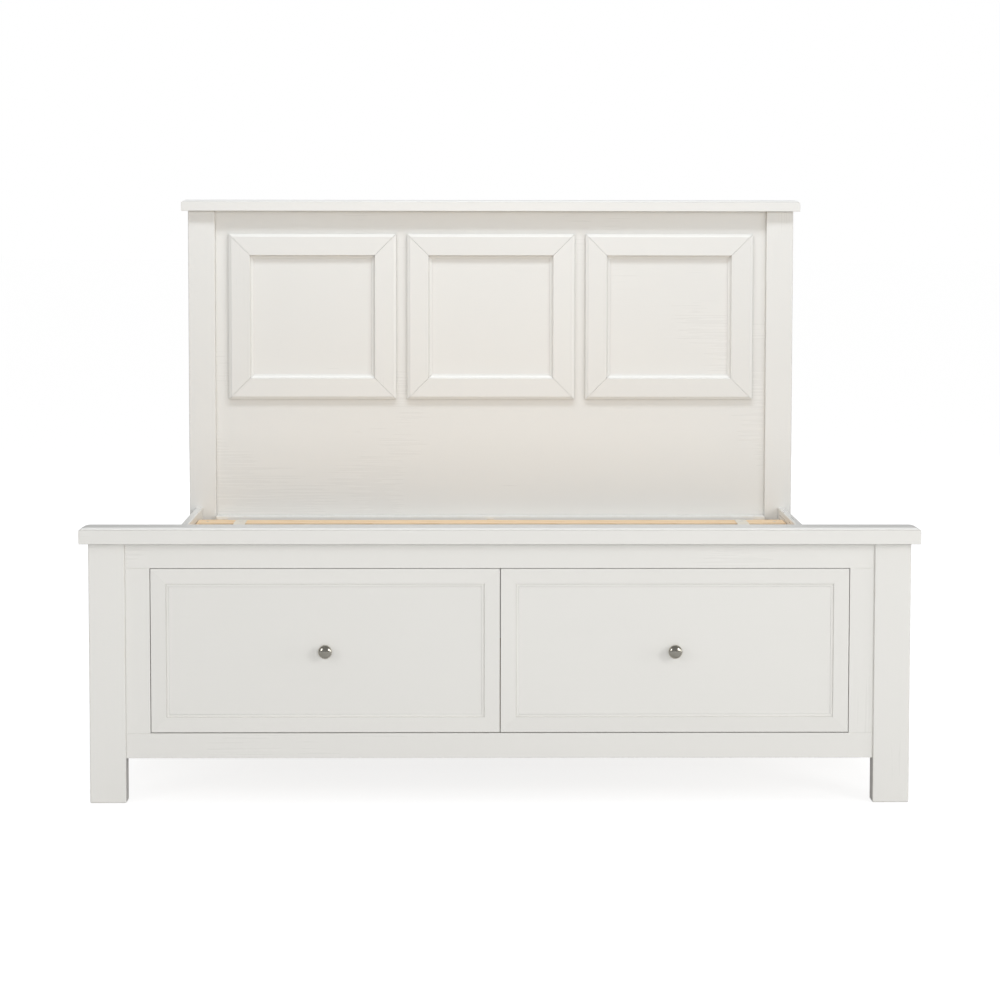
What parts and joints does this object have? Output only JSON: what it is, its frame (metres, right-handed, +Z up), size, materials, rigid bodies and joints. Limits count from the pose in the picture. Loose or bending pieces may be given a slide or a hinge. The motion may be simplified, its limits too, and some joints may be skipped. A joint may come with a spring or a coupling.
{
  "type": "bed frame",
  "caption": "Painted wooden bed frame with panelled headboard, slatted mattress base and sliding storage drawers in the foot end.",
  "frame": {"origin": "on the floor, under the middle of the frame's length and width", "axes": "+Z up, +Y from the foot end to the headboard, +X to the right of someone who stands at the foot and looks at the headboard"},
  "size_m": [1.618, 2.114, 1.172],
  "materials": {
    "white_paint": "satin off-white paint on wood",
    "drawer_paint": "satin off-white paint on board",
    "slat_wood": "planed, lightly sealed pale wood",
    "drawer_wood": "planed, unpainted pale wood",
    "webbing": "woven cream cotton webbing",
    "knob_metal": "polished nickel"
  },
  "bodies": {
    "frame": {"head_post_left": "white_paint", "head_post_right": "white_paint", "head_cap": "white_paint", "head_panel": "white_paint", "head_cross_rail": "white_paint", "moulding_left_top": "white_paint", "moulding_left_left": "white_paint", "moulding_left_bottom": "white_paint", "moulding_left_right": "white_paint", "moulding_centre_top": "white_paint", "moulding_centre_left": "white_paint", "moulding_centre_bottom": "white_paint", "moulding_centre_right": "white_paint", "moulding_right_top": "white_paint", "moulding_right_left": "white_paint", "moulding_right_bottom": "white_paint", "moulding_right_right": "white_paint", "foot_post_left": "white_paint", "foot_stile_left": "white_paint", "foot_post_right": "white_paint", "foot_stile_right": "white_paint", "foot_cap": "white_paint", "foot_top_rail": "white_paint", "foot_bottom_rail": "white_paint", "mattress_stop_board": "white_paint", "side_rail_left": "white_paint", "slat_ledge_left": "slat_wood", "slat_tape_left": "webbing", "side_rail_right": "white_paint", "slat_ledge_right": "slat_wood", "slat_tape_right": "webbing", "centre_beam": "slat_wood", "centre_support_leg": "slat_wood", "slat_01": "slat_wood", "slat_02": "slat_wood", "slat_03": "slat_wood", "slat_04": "slat_wood", "slat_05": "slat_wood", "slat_06": "slat_wood", "slat_07": "slat_wood", "slat_08": "slat_wood", "slat_09": "slat_wood", "slat_10": "slat_wood", "slat_11": "slat_wood", "slat_12": "slat_wood", "runner_board_left": "drawer_wood", "runner_board_right": "drawer_wood", "centre_partition": "drawer_wood"},
    "drawer_left": {"drawer_left_front": "drawer_paint", "drawer_left_inner_side": "drawer_wood", "drawer_left_outer_side": "drawer_wood", "drawer_left_base": "drawer_wood", "drawer_left_back": "drawer_wood", "drawer_left_knob": "knob_metal"},
    "drawer_right": {"drawer_right_front": "drawer_paint", "drawer_right_inner_side": "drawer_wood", "drawer_right_outer_side": "drawer_wood", "drawer_right_base": "drawer_wood", "drawer_right_back": "drawer_wood", "drawer_right_knob": "knob_metal"}
  },
  "joints": [
    {"name": "drawer_left_slide", "type": "slide", "parent": "frame", "child": "drawer_left", "axis": [0, -1, 0], "range_m": [0, 0.45]},
    {"name": "drawer_right_slide", "type": "slide", "parent": "frame", "child": "drawer_right", "axis": [0, -1, 0], "range_m": [0, 0.45]}
  ]
}
